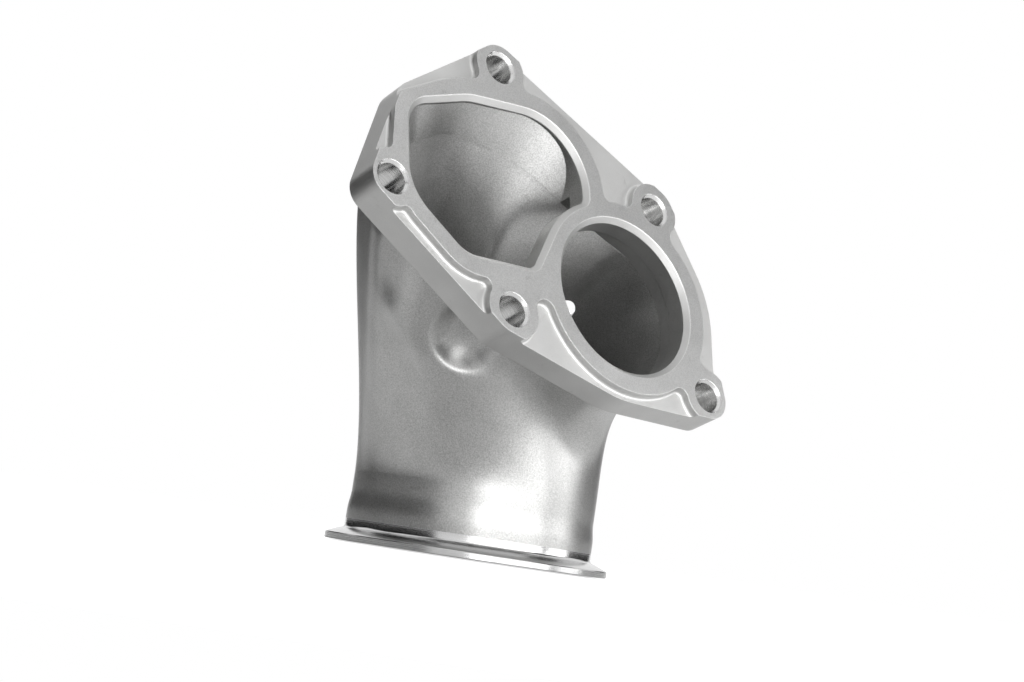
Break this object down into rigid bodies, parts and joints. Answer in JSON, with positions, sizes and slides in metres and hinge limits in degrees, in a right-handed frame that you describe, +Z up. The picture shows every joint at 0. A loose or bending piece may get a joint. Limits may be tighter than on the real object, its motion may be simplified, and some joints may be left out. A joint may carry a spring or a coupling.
{
  "type": "dump pipe",
  "caption": "Cast elbow that joins a large D-shaped port and a round port on a bolted turbine flange into one straight round outlet with a turned clamping rim.",
  "frame": {"origin": "centre of the outlet's flat sealing face", "axes": "+Z up along the outlet axis into the duct, -Y towards the turbine, +X to the right seen from the turbine"},
  "size_m": [0.1361, 0.1172, 0.1524],
  "materials": {
    "machined_casting": "satin",
    "cast_skin": "fine cast grain",
    "turned_steel": "turned, bright"
  },
  "bodies": {
    "root": {"turbine_flange": "machined_casting", "collector_duct": "cast_skin", "outlet_neck": "cast_skin", "clamp_ring": "turned_steel", "sensor_boss": "cast_skin"}
  },
  "joints": []
}
